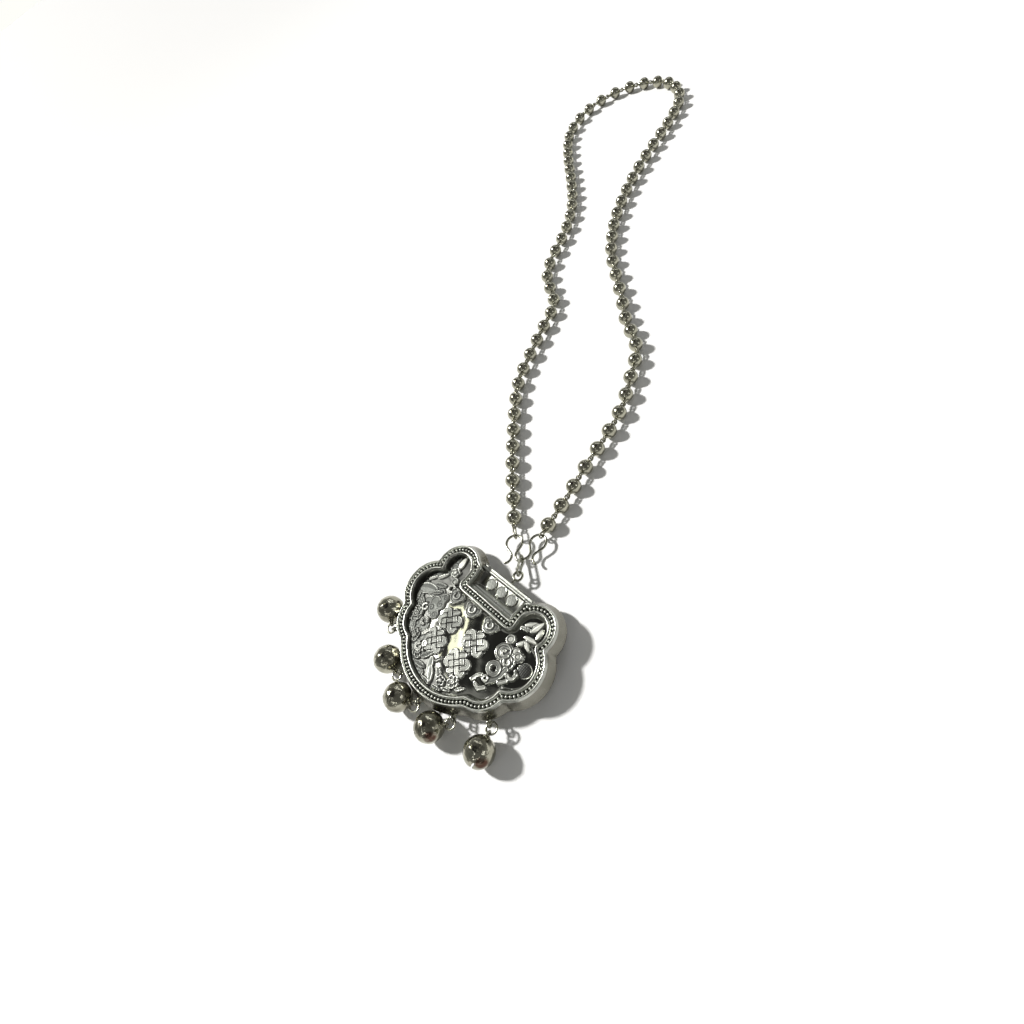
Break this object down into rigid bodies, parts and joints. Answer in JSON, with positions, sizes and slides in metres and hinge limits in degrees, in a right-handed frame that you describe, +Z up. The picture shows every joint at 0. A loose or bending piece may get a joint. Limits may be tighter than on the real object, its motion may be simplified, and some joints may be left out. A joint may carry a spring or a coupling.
{
  "type": "lock-shaped pendant necklace",
  "caption": "Lobed hollow silver lock pendant with raised ornament and small round bells, on wire hooks and a long chain of wire-linked balls.",
  "frame": {"origin": "centre of the laid-out necklace's bounding box, on the surface that it lies on", "axes": "+Z up from the surface, +Y from the lock towards its bail, +X to the right as the front of the lock is seen"},
  "size_m": [0.1372, 0.2174, 0.0065],
  "materials": {
    "silver": "polished, slightly aged silver",
    "chain_silver": "polished silver"
  },
  "bodies": {
    "root": {"lock_body": "silver", "bail_link": "silver", "hook_left": "silver", "hook_right": "silver", "chain": "chain_silver", "bell_ring_1": "silver", "bell_ring_2": "silver", "bell_ring_3": "silver", "bell_ring_4": "silver", "bell_ring_5": "silver", "bell_1": "silver", "bell_2": "silver", "bell_3": "silver", "bell_4": "silver", "bell_5": "silver"}
  },
  "joints": []
}
